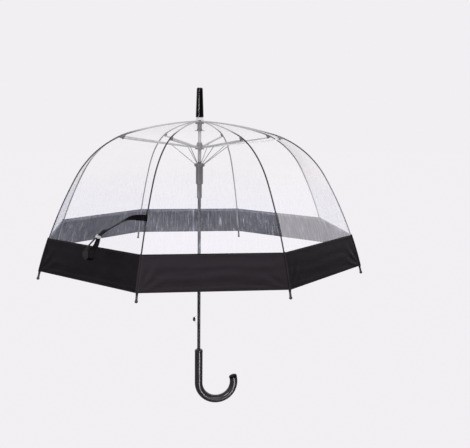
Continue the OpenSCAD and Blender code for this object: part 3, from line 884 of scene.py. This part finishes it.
# the strip's line: distance from the shaft's axis and height
STRIP_LINE = [(-0.0010, 0.1000), (-0.0013, 0.1040), (-0.0026, 0.1075), (-0.0062, 0.1145), (-0.0088, 0.1205),
              (-0.0091, 0.1250), (-0.0091, 0.1320), (-0.0078, 0.1348), (-0.0028, 0.1388)]
STRIP_STEP, STRIP_HALF = 0.0004, 0.00022  # a quarter of its width, and half its thickness
PIN = [(0.0001, -0.0039), (0.0007, -0.0039), (0.0008, -0.0037), (0.0008, 0.0037), (0.0007, 0.0039),
       (0.0001, 0.0039)]  # radius, place along the pin
BUTTON_X, BUTTON_Z = -0.0117, 0.127
HALF_FRONT, HALF_BACK, HALF_WIDE, HALF_TALL = 0.0036, 0.0026, 0.0032, 0.0058


def catch_strip():
    """A bent strip of spring steel."""
    bent = spline([(x, 0, z) for x, z in STRIP_LINE], 5)
    outer, inner, pattern = [np.zeros((len(bent), 5, 3)) for _ in range(3)]
    ways = np.gradient(bent, axis=0)
    for a, p in enumerate(bent):
        normal = np.array([ways[a][2], 0, -ways[a][0]]) / np.linalg.norm(ways[a])
        for b in range(5):
            y = STRIP_STEP * (b - 2)
            outer[a, b] = p + np.array([0, y, 0]) - normal * STRIP_HALF
            inner[a, b] = p + np.array([0, y, 0]) + normal * STRIP_HALF
            pattern[a, b] = (y, p[2], 0)
    return shell("catch_strip", outer, inner, pattern)


def squarer(value):
    """A sine or cosine made fuller, for a shape between a ball and a box."""
    return math.copysign(abs(value) ** 0.8, value)


def catch_knob():
    """A rounded oblong button with a flatter back."""
    rings, sides = 20, 28
    points, pattern = [], []
    for a in range(rings):
        up = math.pi * (a + 0.5) / rings
        for q in range(sides):
            turn = 2 * math.pi * q / sides
            x = squarer(math.sin(up) * math.cos(turn))
            x *= HALF_FRONT if x < 0 else HALF_BACK
            y = squarer(math.sin(up) * math.sin(turn)) * HALF_WIDE
            points.append((BUTTON_X + x, y, BUTTON_Z + squarer(math.cos(up)) * HALF_TALL))
            pattern.append((turn, up, 0))
    faces = grid_faces(rings, sides, close=True, flip=True)
    faces.append(tuple(range(sides)))
    faces.append(tuple(range((rings - 1) * sides, rings * sides))[::-1])
    return piece("catch_knob", points, faces, pattern)


pin = Batch()
pin.lathe(PIN, facing((0, 0, CATCH_PIVOT_Z), (0, 1, 0)))
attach(finish_piece(catch_strip(), M_STRIP, ["catch"]), "catch")
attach(finish_piece(pin.make("catch_pin"), M_STRIP), "catch")
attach(finish_piece(catch_knob(), M_BUTTON), "catch")

# ---------------------------------------------------------------- trim on the grip: top rings and end cap
grip_low, grip_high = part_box("handle")
GRIP_R = grip_high.y
CROOK_R = (grip_high.x - GRIP_R) / 2
END_TURN = math.radians(17)  # how far the crook goes on past its half circle
# outlines as (radius, height)
TOP_WASHER = [(0.0043, -0.0008), (0.0068, -0.0006), (0.0068, -0.0001), (0.0064, 0.0004), (0.0043, 0.0005)]
TOP_RING = [(GRIP_R - 0.0002, -0.0022), (GRIP_R + 0.00035, -0.0018), (GRIP_R + 0.0005, -0.0008),
            (GRIP_R + 0.00035, 0.0002), (GRIP_R - 0.0002, 0.0006)]
END_CAP = [(GRIP_R - 0.0002, -0.0016), (GRIP_R + 0.0003, -0.0012), (GRIP_R + 0.0004, -0.0003),
           (GRIP_R + 0.0003, 0.0020), (GRIP_R + 0.00015, 0.00275), (GRIP_R - 0.00025, 0.00335),
           (GRIP_R - 0.00085, 0.00372), (GRIP_R - 0.00155, 0.00388), (GRIP_R / 2, 0.0046), (0.0010, 0.00478)]
trim, end = Batch(), Batch()
trim.lathe(TOP_WASHER, Matrix.Translation((0, 0, grip_high.z)))
trim.lathe(TOP_RING, Matrix.Translation((0, 0, grip_high.z - 0.0042)), sides=48)
crook_z = grip_low.z + CROOK_R + GRIP_R
crook = Vector((CROOK_R * (1 + math.cos(END_TURN)), 0, crook_z + CROOK_R * math.sin(END_TURN)))
way = Vector((-math.sin(END_TURN), 0, math.cos(END_TURN)))
end.lathe(END_CAP, facing(crook - way * 0.001, way), sides=48)
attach(finish_piece(trim.make("grip_trim"), M_GRIP), "root")
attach(finish_piece(end.make("grip_end"), M_GRIP_END), "root")

# ---------------------------------------------------------------- backdrop, light and camera
PALE = (0.888, 0.863, 0.888, 1)
AROUND = (0.935, 0.925, 0.940, 1)
FLOOR_Z = -1.1


def floor_light(m):
    """The floor's strength: as bright as the backdrop to the camera, even on matt surfaces, dim in gloss."""
    path = m.node("ShaderNodeLightPath")
    seen, gloss = path.outputs["Is Camera Ray"], path.outputs["Is Glossy Ray"]
    rest = m.math("MULTIPLY", m.math("SUBTRACT", 1.0, seen), m.ramp(gloss, 0.0, 1.0, 0.85, 0.07))
    return m.math("MULTIPLY_ADD", seen, 0.982, rest)


backdrop = Nodes("backdrop")
backdrop.set(Base_Color=(0.02, 0.02, 0.02), Roughness=0.9, Specular_IOR_Level=0.0, Emission_Color=PALE[:3])
backdrop.set(Emission_Strength=floor_light(backdrop))
backdrop.material.cycles.emission_sampling = "NONE"
FLOOR_RINGS, FLOOR_SIDES = (0.0, 0.5, 1.0, 2.0, 4.0, 8.0, 16.0, 40.0), 64
turns = np.linspace(0, 2 * math.pi, FLOOR_SIDES + 1)[:-1]
points = [(r * math.cos(a), r * math.sin(a), FLOOR_Z) for r in FLOOR_RINGS for a in turns]
floor = piece("floor", points, grid_faces(len(FLOOR_RINGS), FLOOR_SIDES, close=True))
floor.data.materials.append(backdrop.material)

scene = bpy.context.scene
scene.view_settings.view_transform = "Standard"
scene.cycles.transparent_max_bounces = 24

# The world is the pale backdrop to the camera. In gloss, the room in front is dim and the wall behind bright.
WALL = {"From Min": 0.15, "From Max": 0.65, "To Min": 0.05, "To Max": 0.95}
world = bpy.data.worlds.new("studio")
scene.world = world
world.use_nodes = True
world.cycles.sampling_method = "NONE"
tree = world.node_tree
around = tree.nodes["Background"]
around.inputs[0].default_value = AROUND
path = tree.nodes.new("ShaderNodeLightPath")
direction = tree.nodes.new("ShaderNodeSeparateXYZ")
tree.links.new(tree.nodes.new("ShaderNodeTexCoord").outputs["Generated"], direction.inputs[0])
wall = tree.nodes.new("ShaderNodeMapRange")
wall.interpolation_type = "SMOOTHSTEP"
tree.links.new(direction.outputs[1], wall.inputs["Value"])
for key, value in WALL.items():
    wall.inputs[key].default_value = value
dim = tree.nodes.new("ShaderNodeMix")
tree.links.new(path.outputs["Is Glossy Ray"], dim.inputs[0])
dim.inputs[2].default_value = 1.0
tree.links.new(wall.outputs[0], dim.inputs[3])
tree.links.new(dim.outputs[0], around.inputs[1])
behind = tree.nodes.new("ShaderNodeBackground")
behind.inputs[0].default_value = PALE
pick = tree.nodes.new("ShaderNodeMixShader")
tree.links.new(path.outputs["Is Camera Ray"], pick.inputs[0])
tree.links.new(around.outputs[0], pick.inputs[1])
tree.links.new(behind.outputs[0], pick.inputs[2])
tree.links.new(pick.outputs[0], tree.nodes["World Output"].inputs[0])


def softbox(name, at, towards, size, power, only_gloss=False):
    """An area light at one place that faces another. With only_gloss it lights no diffuse surface."""
    lamp = bpy.data.lights.new(name, "AREA")
    lamp.shape, lamp.size, lamp.size_y, lamp.energy = "RECTANGLE", size[0], size[1], power
    made = bpy.data.objects.new(name, lamp)
    scene.collection.objects.link(made)
    made.location = at
    made.rotation_mode = "QUATERNION"
    made.rotation_quaternion = (Vector(towards) - Vector(at)).to_track_quat("-Z", "Y")
    made.visible_diffuse = not only_gloss


# strips for the highlights: the left one high, for the tip and sleeve, the right one low, for the grip
softbox("left_strip", (-1.05, -1.75, 0.80), (0, 0, 0.65), (0.06, 0.9), 14, only_gloss=True)
softbox("right_strip", (0.70, -1.85, -0.75), (0, 0, 0), (0.12, 1.0), 17, only_gloss=True)
softbox("front", (0.5, -2.3, 1.75), (0, 0, 0.33), (1.6, 0.8), 15)

# the camera of the photograph, found from its view of the ribs, the hem and the shaft
CAMERA_AT, CAMERA_WAY, CAMERA_ROLL = (-0.1412, -1.6776, 0.6299), (0.1354, 0.9794, -0.1500), 0.012
camera_data = bpy.data.cameras.new("camera")
camera_data.sensor_width, camera_data.lens = 36, 51.82
camera = bpy.data.objects.new("camera", camera_data)
scene.collection.objects.link(camera)
camera.location = CAMERA_AT
camera.rotation_mode = "QUATERNION"
roll = Matrix.Rotation(CAMERA_ROLL, 4, "Z").to_quaternion()
camera.rotation_quaternion = Vector(CAMERA_WAY).normalized().to_track_quat("-Z", "Y") @ roll
scene.camera = camera
